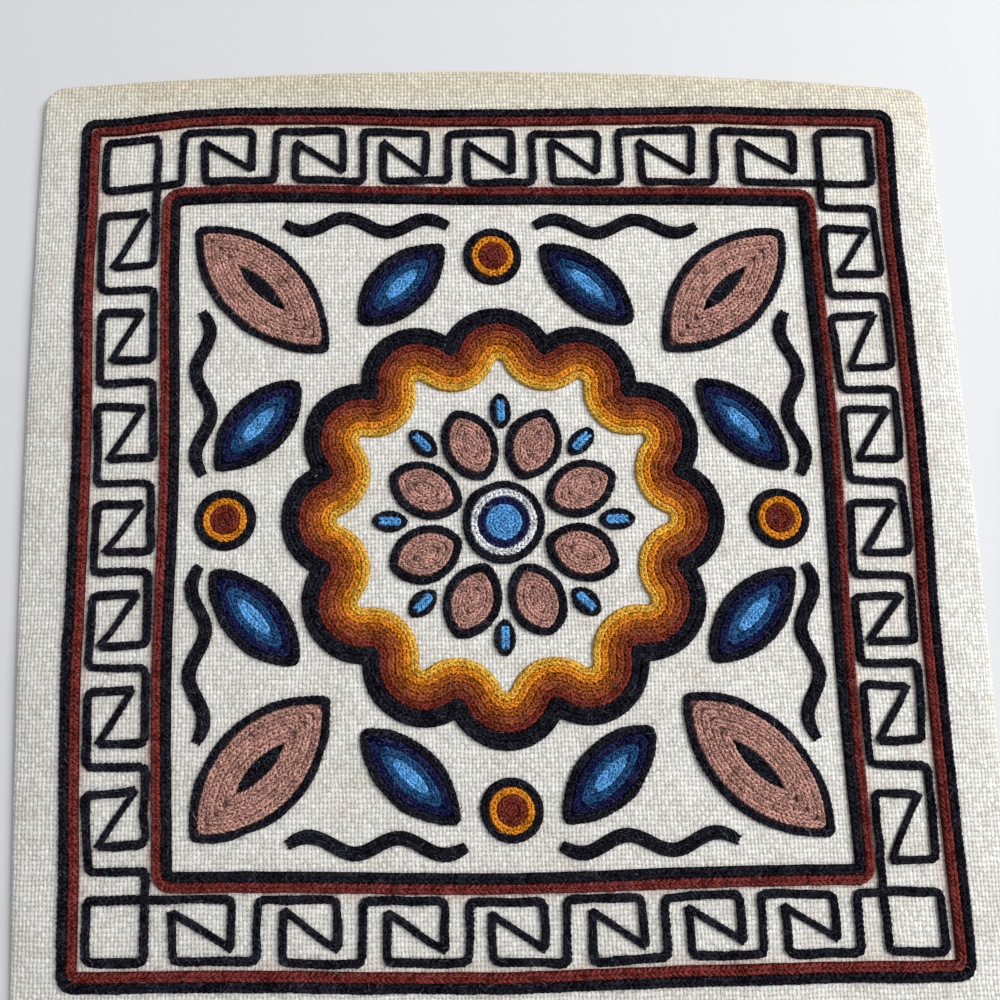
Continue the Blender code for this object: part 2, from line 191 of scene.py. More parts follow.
# Loose fibres: number for each metre of row; bent or not; where they start across it, in row
# widths; height above the cloth, reach and half width in mm; spread of heading; paleness.
HAIRS = (
    (1500, False, (0.38, 0.50), (0.4, 1.3), (0.8, 2.6), (0.07, 0.11), 0.8, (2.0, 2.3)),
    (210, True, (0.0, 0.42), (1.5, 2.2), (0.9, 2.6), (0.055, 0.085), 2.0, (2.6, 5.0)),
    (200, True, (0.0, 0.50), (1.5, 2.3), (2.0, 5.5), (0.05, 0.08), 2.0, (2.8, 5.5)),
)
HAIRY_COLOURS = ("black", "red")
LESS_HAIRY = 0.3
SPIKE_CORNERS = (math.pi / 2, math.pi * 7 / 6, math.pi * 11 / 6)

# Yarn colours: sRGB, 0 to 255.
YARN = {
    "black": (6, 5, 18),
    "red": (104, 28, 22),
    "maroon": (108, 30, 8),
    "rust": (133, 60, 16),
    "orange": (156, 78, 2),
    "amber": (226, 138, 2),
    "gold": (250, 190, 62),
    "pink": (173, 128, 116),
    "navy": (6, 10, 61),
    "blue": (5, 63, 109),
    "light_blue": (88, 162, 223),
    "white": (216, 217, 219),
}
CLOTH = (221, 219, 209)
FIBRE_DARK = 0.34
FIBRE_LIGHT = 1.65
FIBRE_LIGHTEST = 0.96
FIBRE_PALE_AND_SHEEN = 0.038
FIBRE_PALE_AND_SHEEN_DARK_WOOL = 0.026
FIBRE_SPARSE = 2.2
FIBRE_SPARSE_DARK_WOOL = 3.4
HAIR_PALE = np.array((0.24, 0.27, 0.33))

WARP_PITCH = 1.77 * MM
WEFT_PITCH = 2.12 * MM
rng = np.random.default_rng(1608)


def linear(colour):
    """An sRGB colour, 0 to 255, as linear values."""
    values = []
    for part in colour:
        share = part / 255
        values.append(share / 12.92 if share <= 0.04045 else ((share + 0.055) / 1.055) ** 2.4)
    return np.array(values)


# ---------------------------------------------------------------- the lie of the cloth


def half_height(x, y):
    """Half the cover's height at a distance across its face, for its upper or lower edge."""
    return HALF_HEIGHT - np.where(y > 0.0, TOP_BOW, BOTTOM_BOW) * (x / HALF_WIDTH) ** 2


def cloth_top(x, y):
    """Height of the front cloth, in the cover's own unskewed coordinates."""
    across = HALF_WIDTH - SIDE_BOW * (y / HALF_HEIGHT) ** 2 - np.abs(x)
    up = half_height(x, y) - np.abs(y)
    inset = np.maximum(0.0, np.minimum(across, up))
    rise = 1.0 - np.exp(-inset / LOFT_LENGTH)
    soft = 0.0
    for (high, length, slant, phase), (first, second) in zip(SOFT_WAVES, ((x, y), (y, x))):
        soft = soft + high * np.sin(first / length + slant * second / length + phase)
    along = np.where(up < across, x, y)
    swell = sum(high * np.sin(along / length + phase) for high, length, phase in MARGIN_WAVES)
    reach = inset / MARGIN_WAVE_PEAK
    margin = swell * MM * reach * np.exp(1.0 - reach)
    corner = np.hypot(x + HALF_WIDTH, y - HALF_HEIGHT) / CORNER_FALL_REACH
    fall = CORNER_FALL * np.exp(-corner * corner)
    height = RIM_TOP + (LOFT - RIM_TOP) * rise + (soft * MM - fall) * rise + MARGIN_SHARE * margin
    return np.maximum(height, RIM_TOP)


def ramp(distance, length):
    """A smooth step from 0 to 1."""
    return 1.0 / (1.0 + np.exp(-distance / length))


def hand_sway(points):
    """The small drift of hand-sewn lines, and their pull towards the middle near the corners."""
    x, y = points[:, 0], points[:, 1]
    middle, reach, start, length = UPPER_LEFT_AT
    drawn = UPPER_LEFT_DRAW * np.exp(-(((x - middle) / reach) ** 2)) * ramp(y - start, length)
    middle, reach, start, length = UPPER_RIGHT_AT
    dip = UPPER_RIGHT_DIP * np.exp(-(((y - middle) / reach) ** 2)) * ramp(x - start, length)
    middle, reach, start, length = LOWER_AT
    lift = LOWER_LIFT * (1.0 - np.exp(-(((x - middle) / reach) ** 4))) * ramp(-start - y, length)
    sway_x = 0.8 * MM * np.sin(y / 37.0e-3 + 0.6)
    sway_y = 0.9 * MM * np.cos((x + 0.115) / 33.4e-3)
    return np.stack([x + sway_x + DRAWN_SIDEWAYS * drawn, y + sway_y - drawn - dip + lift], axis=1)


# ---------------------------------------------------------------- lines in the plane

ARC_STEP = 0.8 * MM
LENS_STEPS = 20


def arc(centre, radius, start, end, count=None):
    """Points along an arc, both ends included."""
    count = count or max(3, int(abs(end - start) * radius / ARC_STEP) + 1)
    angle = np.linspace(start, end, count)
    return np.stack([centre[0] + radius * np.cos(angle), centre[1] + radius * np.sin(angle)], 1)


def circle(centre, radius):
    """Points round a circle, the first not repeated."""
    return arc(centre, radius, 0, math.tau)[:-1]


def turned(points, angle):
    """Points turned about the middle."""
    c, s = math.cos(angle), math.sin(angle)
    return np.stack([points[:, 0] * c - points[:, 1] * s, points[:, 0] * s + points[:, 1] * c], 1)


def lens(start, end, half, inset, count=None):
    """A pointed leaf of two equal arcs, moved in by an even distance."""
    start, end = np.array(start), np.array(end)
    length = np.linalg.norm(end - start)
    radius = (length * length / 4 + half * half) / (2 * half)
    drop = radius - half
    spread = math.asin(drop / (radius - inset))
    upper = arc((0.0, -drop), radius - inset, spread, math.pi - spread, count)[:-1]
    angle = math.atan2(end[1] - start[1], end[0] - start[0])
    return turned(np.concatenate([upper, -upper]), angle) + (start + end) / 2


def rosette(inset):
    """The lobed ring's line, moved in by an even distance."""
    half = math.pi / ROSETTE_LOBES
    cusp = (ROSETTE_CUSP * math.cos(half), ROSETTE_CUSP * math.sin(half))
    centre = (ROSETTE_CUSP ** 2 - ROSETTE_TIP ** 2) / (2 * (cusp[0] - ROSETTE_TIP))
    radius = ROSETTE_TIP - centre - inset
    if inset < 0:
        along = centre * math.cos(half) + math.sqrt(radius ** 2 - (centre * math.sin(half)) ** 2)
        spread = math.atan2(along * math.sin(half), along * math.cos(half) - centre)
        lobe = arc((centre, 0.0), radius, -spread, spread)[:-1]
    else:
        spread = math.atan2(cusp[1], cusp[0] - centre)
        bay = arc(cusp, inset, math.pi + spread, 2 * half + math.pi - spread)[1:-1]
        lobe = np.concatenate([arc((centre, 0.0), radius, -spread, spread), bay])
    return np.concatenate([turned(lobe, 2 * half * index) for index in range(ROSETTE_LOBES)])


def rounded(points, cut):
    """An open line through points, each inner corner rounded."""
    points = [np.array(point, float) for point in points]
    line = [points[0]]
    for before, corner, after in zip(points, points[1:], points[2:]):
        share_in = min(cut / np.linalg.norm(before - corner), 0.45)
        share_out = min(cut / np.linalg.norm(after - corner), 0.45)
        start = corner + (before - corner) * share_in
        end = corner + (after - corner) * share_out
        for t in np.linspace(0.0, 1.0, 5):
            line.append((1 - t) ** 2 * start + 2 * t * (1 - t) * corner + t * t * end)
    line.append(points[-1])
    return np.array(line)


def key_border():
    """The running key: for each side its rows from one corner crossing to beyond the next."""
    sides = []
    for turn, steps in enumerate(KEY_STEPS):
        along_x = turn % 2 == 0
        rail = KEY_INNER_RAIL - (0.0 if along_x else FRAME_NARROWER)
        half_run = KEY_INNER_RAIL - (FRAME_NARROWER if along_x else 0.0)
        run = 2 * half_run
        scale = (run - KEY_FIRST_STROKE) / sum(steps)
        rows = []
        points = [np.zeros(2)]
        stroke = KEY_FIRST_STROKE
        for step in steps:
            pitch = step * scale
            outer = stroke + HOOK_OUTER * pitch
            inner = stroke + HOOK_INNER * pitch
            places = [(stroke, 0.0), (stroke, KEY_BAND), (outer, KEY_BAND)]
            places += [(outer, HOOK_LOW * KEY_BAND), (inner, HOOK_HIGH * KEY_BAND), (inner, 0.0)]
            places = np.array(places) + rng.normal(0.0, KEY_JITTER, (len(places), 2))
            rows.append((rounded([*points, *places[:4]], KEY_ROUNDING), KEY_ROW))
            nose = HOOK_NOSE * (places[4] - places[3]) / np.linalg.norm(places[4] - places[3])
            rows.append((np.array((places[3] - nose, places[4] + nose)), HOOK_ROW))
            points = list(places[4:])
            stroke += pitch
        far = run + KEY_BAND
        points += [(far, 0.0), (far, KEY_BAND), (run, KEY_BAND), (run, 0.0)]
        rows.append((rounded(points, KEY_ROUNDING), KEY_ROW))
        place, angle = (-half_run, rail), -turn * math.pi / 2
        sides.append([(turned(line + place, angle), width) for line, width in rows])
    return sides


def frame_line(y_half, radius):
    """One rectangular frame line with rounded corners."""
    x_half = y_half - FRAME_NARROWER
    corners = []
    for quarter, (sign_x, sign_y) in enumerate(((1, 1), (-1, 1), (-1, -1), (1, -1))):
        centre = (sign_x * (x_half - radius), sign_y * (y_half - radius))
        start = quarter * math.pi / 2
        corners.append(arc(centre, radius, start, start + math.pi / 2))
    return np.concatenate(corners)


def tendril_line(quarter, sign, offset):
    """One of the two rows of a wavy line beside the inner frame."""
    frame_at = FRAMES[3][2] - (FRAME_NARROWER if quarter % 2 == 1 else 0.0)
    share = np.linspace(0.0, 1.0, 90)
    s = TENDRIL_START + (TENDRIL_END - TENDRIL_START) * share
    t = frame_at - TENDRIL_FROM_FRAME + TENDRIL_SWAY * np.sin(share * 2.0 * math.tau)
    slope = np.gradient(t, s)
    ends = [np.clip(part * TENDRIL_TAPER, 0, 1) * math.pi / 2 for part in (share, 1 - share)]
    taper = np.sin(ends[0]) * np.sin(ends[1])
    shift = offset * (TENDRIL_END_SHARE + (1.0 - TENDRIL_END_SHARE) * taper)
    s = s - slope / np.hypot(1.0, slope) * shift
    t = t + shift / np.hypot(1.0, slope)
    return turned(np.stack([sign * s, t], 1), -quarter * math.pi / 2)


# ---------------------------------------------------------------- rows of chain stitch


def resampled(points, closed, spacing):
    """A line's points at an even spacing, and its length."""
    if closed:
        points = np.concatenate([points, points[:1]])
    steps = np.linalg.norm(np.diff(points, axis=0), axis=1)
    run = np.concatenate([[0.0], np.cumsum(steps)])
    count = max(2, int(run[-1] / spacing))
    at = np.linspace(0.0, run[-1], count + 1)
    line = np.stack([np.interp(at, run, points[:, 0]), np.interp(at, run, points[:, 1])], 1)
    return line, run[-1]


def sewn(line, closed, spacing):
    """A drawn line as the hand sews it, at an even spacing, and its length."""
    length = resampled(line, closed, 3.0 * MM)[1]
    drawn = resampled(line, closed, min(3.0 * MM, length / 16))[0]
    return resampled(hand_sway(drawn), False, spacing)


def drift(at, length, closed, size):
    """A random change along a row, even over about a centimetre."""
    knots = max(2, int(length / DRIFT_LENGTH))
    values = rng.normal(0.0, size, knots + 1)
    if closed:
        values[-1] = values[0]
    return np.interp(at, np.linspace(0.0, length, knots + 1), values)


class Wool:
    """Collects the stitches and loose hairs of one piece, then makes its mesh."""

    def __init__(self, name, colour, replaces=()):
        self.name = name
        self.colour = colour
        self.replaces = replaces
        self.points = []
        self.faces = []
        self.slivers = []
        self.uvs = []
        self.tones = []
        self.count = 0

    def add(self, points, faces, uvs, tones):
        """Add vertices (n, 3), faces (m, 4) or (m, 3), a UV for each vertex and its tone."""
        self.points.append(points)
        (self.faces if faces.shape[1] == 4 else self.slivers).append(faces + self.count)
        self.uvs.append(uvs)
        self.tones.append(tones)
        self.count += len(points)

    def row(self, line, closed, width, lift=None, packed=False):
        """One row of chain stitch along a line."""
        line, length = sewn(line, closed, 0.5 * MM)
        run = np.linspace(0.0, length, len(line))
        links = max(1, round(length / LINK_PITCH))
        pitch = length / links
        start = (np.arange(links) + rng.uniform(-START_JITTER, START_JITTER, links)) * pitch
        at = start[:, None] + LINK_REACH[None, :] * pitch
        at = at % length if closed else np.clip(at, 0.0, length)
        tangent = np.gradient(line, axis=0)
        if closed:
            tangent[0] = tangent[-1] = (line[1] - line[-2]) / 2
        x, y = np.interp(at, run, line[:, 0]), np.interp(at, run, line[:, 1])
        tx, ty = np.interp(at, run, tangent[:, 0]), np.interp(at, run, tangent[:, 1])
        size = np.hypot(tx, ty)
        tx, ty = tx / size, ty / size
        free = PACKED_FREEDOM if packed else 1.0
        aside = drift(at, length, closed, free * ROW_WANDER)
        x, y = x - ty * aside, y + tx * aside
        share = UNDERSIDE_SHARE_PACKED if packed else UNDERSIDE_SHARE
        self.underside(x, y, tx, ty, width * share, closed)
        width = width * (1.0 + drift(at, length, closed, free * ROW_SWELL))
        swell = rng.uniform(0.94, 1.06, (links, 1))
        raise_by = 0.0 if lift is None else lift(x, y)
        tone = np.clip(rng.normal(0.0, 1.0, links), -1.9, 1.9)
        around = np.arange(STRAND_SIDES) * math.tau / STRAND_SIDES
        for side in (-1.0, 1.0):
            radius = STRAND_RADIUS * width * LINK_THICK[None, :] * swell
            radius = radius * rng.uniform(0.95, 1.05, (links, 1))
            spread = side * (width / 2 - STRAND_RADIUS * width) * LINK_SPREAD[None, :]
            spread = spread + rng.normal(0.0, PLACE_JITTER, (links, 1))
            cx = x - ty * spread
            cy = y + tx * spread
            cz = cloth_top(x, y) + LINK_RISE[None, :] * (width / USUAL_ROW) ** 0.5
            cz = cz + rng.normal(0.0, PLACE_JITTER, (links, 1)) + raise_by
            wide = radius[:, :, None] * np.cos(around)
            high = radius[:, :, None] * np.sin(around)
            px = cx[..., None] - ty[..., None] * wide
            py = cy[..., None] + tx[..., None] * wide
            points = np.stack([px, py, cz[..., None] + high], -1)
            shape = points.shape[:-1]
            u = np.broadcast_to(around / math.tau, shape)
            v = (start[:, None] + LINK_REACH[None, :] * pitch)[..., None] / MM
            uvs = np.stack([u * side, np.broadcast_to(v, shape)], -1).reshape(-1, 2)
            tones = np.broadcast_to(tone[:, None, None], shape).reshape(-1)
            self.add(points.reshape(-1, 3), strand_faces(links), uvs, tones)
        self.hairs(line, run, length, np.mean(width))

    def underside(self, x, y, tx, ty, half, closed):
        """A strip of the same wool close to the cloth, under the stitches of a row, darkened as painted
        shade in the gaps between strands.
        """
        sides = [(x[:, 1] - sign * half * ty[:, 1], y[:, 1] + sign * half * tx[:, 1]) for sign in (-1, 1)]
        self.band(*(np.stack(side, -1) for side in sides), closed)

    def band(self, left, right, closed):
        """A strip close to the cloth between two lines of equal count, its wool darkened as painted
        shade.
        """
        places = [(line[:, 0], line[:, 1]) for line in (left, right)]
        points = np.stack([np.stack([px, py, cloth_top(px, py) + UNDERSIDE], -1) for px, py in places], 1)
        count = len(points)
        first = 2 * np.arange(count if closed else count - 1)
        after = (first + 2) % (2 * count)
        faces = np.stack([first, after, after + 1, first + 1], 1)
        tones = np.full(2 * count, UNDERSIDE_SHADE_TONE)
        self.add(points.reshape(-1, 3), faces, np.zeros((2 * count, 2)), tones)

    def hairs(self, line, run, length, width):
        """Fine loose fibres that stand off a row."""
        tangent = np.gradient(line, axis=0)
        for per_metre, bent, start, height, reach, thin, turn, tone in HAIRS:
            share = 1.0 if bent or self.colour in HAIRY_COLOURS else LESS_HAIRY
            count = int(length * per_metre * share)
            at = rng.uniform(0.0, length, count)
            tx, ty = np.interp(at, run, tangent[:, 0]), np.interp(at, run, tangent[:, 1])
            away = rng.choice((-1.0, 1.0), count)
            heading = np.arctan2(tx * away, -ty * away) + rng.normal(0.0, turn, count)
            away = away * rng.uniform(*start, count) * width / np.hypot(tx, ty)
            x = np.interp(at, run, line[:, 0]) - ty * away
            y = np.interp(at, run, line[:, 1]) + tx * away
            z = cloth_top(x, y) + rng.uniform(*height, count) * MM
            place = (x, y, z, heading, rng.uniform(*reach, count) * MM, rng.uniform(*thin, count) * MM)
            if bent:
                self.strays(*place, tone)
            else:
                self.fuzz(*place, tone)

    def fuzz(self, x, y, z, heading, reach, thin, tone):
        """Short straight fibres."""
        tip_z = np.maximum(z - rng.uniform(0.0, 0.5, len(x)) * MM, cloth_top(x, y) + 0.1 * MM)
        tip = (x + np.cos(heading) * reach, y + np.sin(heading) * reach, tip_z)
        self.spikes([((x, y, z), heading)], tip, thin, tone)

    def strays(self, x, y, z, heading, reach, thin, tone):
        """Longer bent fibres."""
        bend = rng.normal(0.0, 0.9, len(x))
        places = []
        for share, rise in ((0.5, 0.35), (1.0, 0.10)):
            turn = heading + bend * share
            pz = z + rise * MM * rng.uniform(0.2, 1.0, len(x))
            places.append((x + np.cos(turn) * reach * share, y + np.sin(turn) * reach * share, pz))
        self.spikes([((x, y, z), heading), (places[0], heading + 0.7 * bend)], places[1], thin, tone)

    def spikes(self, rings, tip, thin, tone):
        """Fibres as closed spikes of three sides, through one or two rings to a tip."""
        points = []
        for (x, y, z), heading in rings:
            for angle in SPIKE_CORNERS:
                aside, up = thin * math.cos(angle), thin * math.sin(angle)
                px, py = x - np.sin(heading) * aside, y + np.cos(heading) * aside
                points.append(np.stack([px, py, z + up], -1))
        points.append(np.stack(tip, -1))
        faces = [(0, 2, 1)]
        for ring in range(0, 3 * len(rings), 3):
            for side in range(3):
                low, high = ring + side, ring + (side + 1) % 3
                if ring + 3 < 3 * len(rings):
                    faces += [(low, high, high + 3), (low, high + 3, low + 3)]
                else:
                    faces.append((low, high, 3 * len(rings)))
        count, corners = len(thin), len(points)
        base = corners * np.arange(count)[:, None, None]
        tones = np.repeat(rng.uniform(*tone, count), corners)
        faces = (np.array(faces)[None] + base).reshape(-1, 3)
        self.add(np.stack(points, 1).reshape(-1, 3), faces, np.zeros((count * corners, 2)), tones)

    def make(self):
        """The finished mesh object, on its body."""
        points = np.concatenate(self.points)
        points[:, 0] += SKEW * points[:, 1]
        faces = np.concatenate(self.faces).tolist() + np.concatenate(self.slivers).tolist()
        mesh = bpy.data.meshes.new(self.name)
        mesh.from_pydata(points.tolist(), [], faces)
        mesh.shade_smooth()
        loops = np.empty(len(mesh.loops), np.int32)
        mesh.loops.foreach_get("vertex_index", loops)
        uv_layer = mesh.uv_layers.new(name="strand")
        uv_layer.data.foreach_set("uv", np.concatenate(self.uvs)[loops].astype(np.float32).ravel())
        tone_layer = mesh.attributes.new("tone", "FLOAT", "POINT")
        tone_layer.data.foreach_set("value", np.concatenate(self.tones).astype(np.float32))
        mesh.update()
        mesh.materials.append(yarn_material(self.colour))
        piece = bpy.data.objects.new(self.name, mesh)
        bpy.context.scene.collection.objects.link(piece)
        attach(piece, "root")
        if self.replaces:
            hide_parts(*self.replaces)
        return piece


def strand_faces(links):
    """Quads round every strand of a row."""
    rings = len(LINK_REACH)
    quads = []
    for ring in range(rings - 1):
        for side in range(STRAND_SIDES):
            after = (side + 1) % STRAND_SIDES
            low, high = ring * STRAND_SIDES, (ring + 1) * STRAND_SIDES
            quads.append((low + side, low + after, high + after, high + side))
    base = np.arange(links)[:, None, None] * rings * STRAND_SIDES
    return (np.array(quads)[None] + base).reshape(-1, 4)


# ---------------------------------------------------------------- materials


class Shader:
    """A small helper that adds and links shader nodes."""

    def __init__(self, name):
        self.material = bpy.data.materials.new(name)
        self.material.use_nodes = True
        self.tree = self.material.node_tree
        self.surface = self.tree.nodes["Principled BSDF"]

    def node(self, kind, settings=None, **inputs):
        """A node with its settings, its inputs linked or set."""
        node = self.tree.nodes.new(kind)
        for key, value in (settings or {}).items():
            setattr(node, key, value)
        for key, value in inputs.items():
            numbered_socket = key[0] == "i" and key[1:].isdigit()
            self.put(value, node.inputs[int(key[1:]) if numbered_socket else key.replace("_", " ")])
        return node

    def put(self, value, socket):
        """Link an output, or set a plain value."""
        if isinstance(value, bpy.types.NodeSocket):
            self.tree.links.new(value, socket)
        else:
            socket.default_value = value

    def math(self, operation, *values):
        """One Math node."""
        node = self.tree.nodes.new("ShaderNodeMath")
        node.operation = operation
        for socket, value in zip(node.inputs, values):
            self.put(value, socket)
        return node.outputs[0]

    def mix(self, factor, first, second, blend="MIX"):
        """One colour Mix node."""
        node = self.tree.nodes.new("ShaderNodeMix")
        node.data_type = "RGBA"
        node.blend_type = blend
        self.put(factor, node.inputs[0])
        self.put(first, node.inputs[6])
        self.put(second, node.inputs[7])
        return node.outputs[2]

    def noise(self, vector, scale, detail=2.0, roughness=0.5):
        """Noise from 0 to 1 at a scale in 1 / metre or 1 / UV unit."""
        values = {"Vector": vector, "Scale": scale, "Detail": detail, "Roughness": roughness}
        return self.node("ShaderNodeTexNoise", **values).outputs["Fac"]

    def add_scaled(self, total, value, middle, gain):
        """A total with the part of a value above its middle added, times a gain."""
        part = self.math("MULTIPLY", self.math("SUBTRACT", value, middle), gain)
        return self.math("ADD", total, part)

    def window(self, value, low, high):
        """A value as 0 at low to 1 at high, held within that."""
        node = self.node("ShaderNodeMapRange", {"clamp": True}, Value=value)
        node.inputs["From Min"].default_value = low
        node.inputs["From Max"].default_value = high
        return node.outputs["Result"]

    def attribute(self, name):
        """A value stored on the mesh."""
        return self.node("ShaderNodeAttribute", {"attribute_name": name}).outputs["Fac"]

    def stained(self, colour, amount, tint):
        """A colour multiplied towards a tint, sRGB 0 to 255, by an amount."""
        return self.mix(amount, colour, rgba(linear(tint)), "MULTIPLY")

    def finish(self, colour, height, bump_depth, roughness, specular):
        """The surface from its colour, the height for its bump, and its gloss."""
        bump = self.node("ShaderNodeBump", Strength=BUMP_STRENGTH, Distance=bump_depth, Height=height)
        self.put(colour, self.surface.inputs["Base Color"])
        self.put(bump.outputs["Normal"], self.surface.inputs["Normal"])
        self.surface.inputs["Roughness"].default_value = roughness
        self.surface.inputs["Specular IOR Level"].default_value = specular
        return self.material


def rgba(colour):
    """A linear colour with alpha, kept within 0 to 1."""
    return (*np.clip(colour, 0.0, 1.0).tolist(), 1.0)


BUMP_STRENGTH = 0.8

# Wool: twist for each mm along a strand; scales of its noises; then how much each of them, the
# stitch's own tone and the ply change the level of light and dark, and about which middle. The ply
# darkens the grooves between plies as painted shade and lightens the ply crowns as painted highlight.
TWIST = 0.22
FIBRE_SCALE = 1300.0
PATCH_SCALE = 130.0
LEVEL_START = 0.55
FIBRE_GAIN = (0.5, 8.0)
STREAK_GAIN = (0.5, 3.2)
PATCH_GAIN = (0.5, 1.2)
TONE_GAIN = (0.0, 0.14)
PLY_SHADE_GAIN = (0.6, 0.25)
HAIR_TONES = (2.0, 5.5)
PALE_EVEN = 0.8
WOOL_BUMP = 0.5 * MM

yarn_materials = {}


def yarn_material(colour):
    """Twisted wool: bright and dark fibres, a tone for each stitch, ply grooves as painted shade; the
    near-neutral pale on the bright fibres is pale fibres and painted sheen.
    """
    if colour in yarn_materials:
        return yarn_materials[colour]
    shader = Shader(f"yarn_{colour}")
    base = linear(YARN[colour])
    dark_wool = colour in ("black", "navy")
    pale = FIBRE_PALE_AND_SHEEN_DARK_WOOL if dark_wool else FIBRE_PALE_AND_SHEEN
    pale = pale * (PALE_EVEN + (1.0 - PALE_EVEN) * base / base.max())
    place = shader.node("ShaderNodeTexCoord").outputs["Object"]
    strand = shader.node("ShaderNodeUVMap", {"uv_map": "strand"}).outputs["UV"]
    parts = shader.node("ShaderNodeSeparateXYZ", Vector=strand)
    around, along = parts.outputs[0], parts.outputs[1]
    tone = shader.attribute("tone")
    twist = shader.math("ADD", around, shader.math("MULTIPLY", along, TWIST))
    ply = shader.math("ABSOLUTE", shader.math("SINE", shader.math("MULTIPLY", twist, math.tau)))
    across_fibre = shader.math("MULTIPLY", twist, 5.0)
    along_fibre = shader.math("MULTIPLY", along, 0.6)
    lay_of_fibre = shader.node("ShaderNodeCombineXYZ", X=across_fibre, Y=along_fibre, Z=tone)
    streak = shader.noise(lay_of_fibre.outputs[0], 1.0, 2.0, 0.6)
    fibre = shader.noise(place, FIBRE_SCALE, 3.0, 0.8)
    patch = shader.noise(place, PATCH_SCALE, 2.0)
    level = LEVEL_START
    gains = (FIBRE_GAIN, STREAK_GAIN, PATCH_GAIN, TONE_GAIN, PLY_SHADE_GAIN)
    for value, (middle, gain) in zip((fibre, streak, patch, tone, ply), gains):
        level = shader.add_scaled(level, value, middle, gain)
    rarity = FIBRE_SPARSE_DARK_WOOL if dark_wool else FIBRE_SPARSE
    sparse = shader.math("POWER", shader.window(level, 0.0, 1.0), rarity)
    # The bright fibres get a near-neutral pale added: pale fibres and painted sheen.
    light = base * min(FIBRE_LIGHT, FIBRE_LIGHTEST / base.max()) + pale
    wool_colour = shader.mix(sparse, rgba(base * FIBRE_DARK), rgba(light))
    hair = shader.window(tone, *HAIR_TONES)
    wool_colour = shader.mix(hair, wool_colour, rgba(base + HAIR_PALE))
    height = shader.math("ADD", shader.math("MULTIPLY", ply, 0.6), fibre)
    yarn_materials[colour] = shader.finish(wool_colour, height, WOOL_BUMP, 0.92, 0.04)
    return yarn_materials[colour]



# Cloth, its UV in threads. Drifts of the threads: scale, detail and how far they move.
THREAD_DRIFTS = ((0.06, 2.0, 1.6), (0.45, 1.0, 0.55))
# Warp and weft: phase, then the least height of a thread and what it gains where it is on top.
WARP_HEIGHT = (0.0, 0.66, 0.34)
WEFT_HEIGHT = (math.pi, 0.34, 0.40)
# Furrow depth, then the shares of thread height, fine noise and odd threads in the colour level, its
# window, and the dark and bright cloth: the thread height paints tops lighter and gaps and furrows darker
# as painted light and shade, the noises are random threads.
FURROW_DEPTH = 0.26
FINE_SHARE = 2.6
HEIGHT_SHARE = 0.85
ODD_SHARE = 0.40
SHADE_LEVELS = (0.05, 1.22)
DARK_AND_SHADED_CLOTH = (0.45, 0.448, 0.432)
BRIGHT_AND_LIT_CLOTH = (1.125, 1.13, 1.20)
CLOTH_BUMP = 0.4 * MM


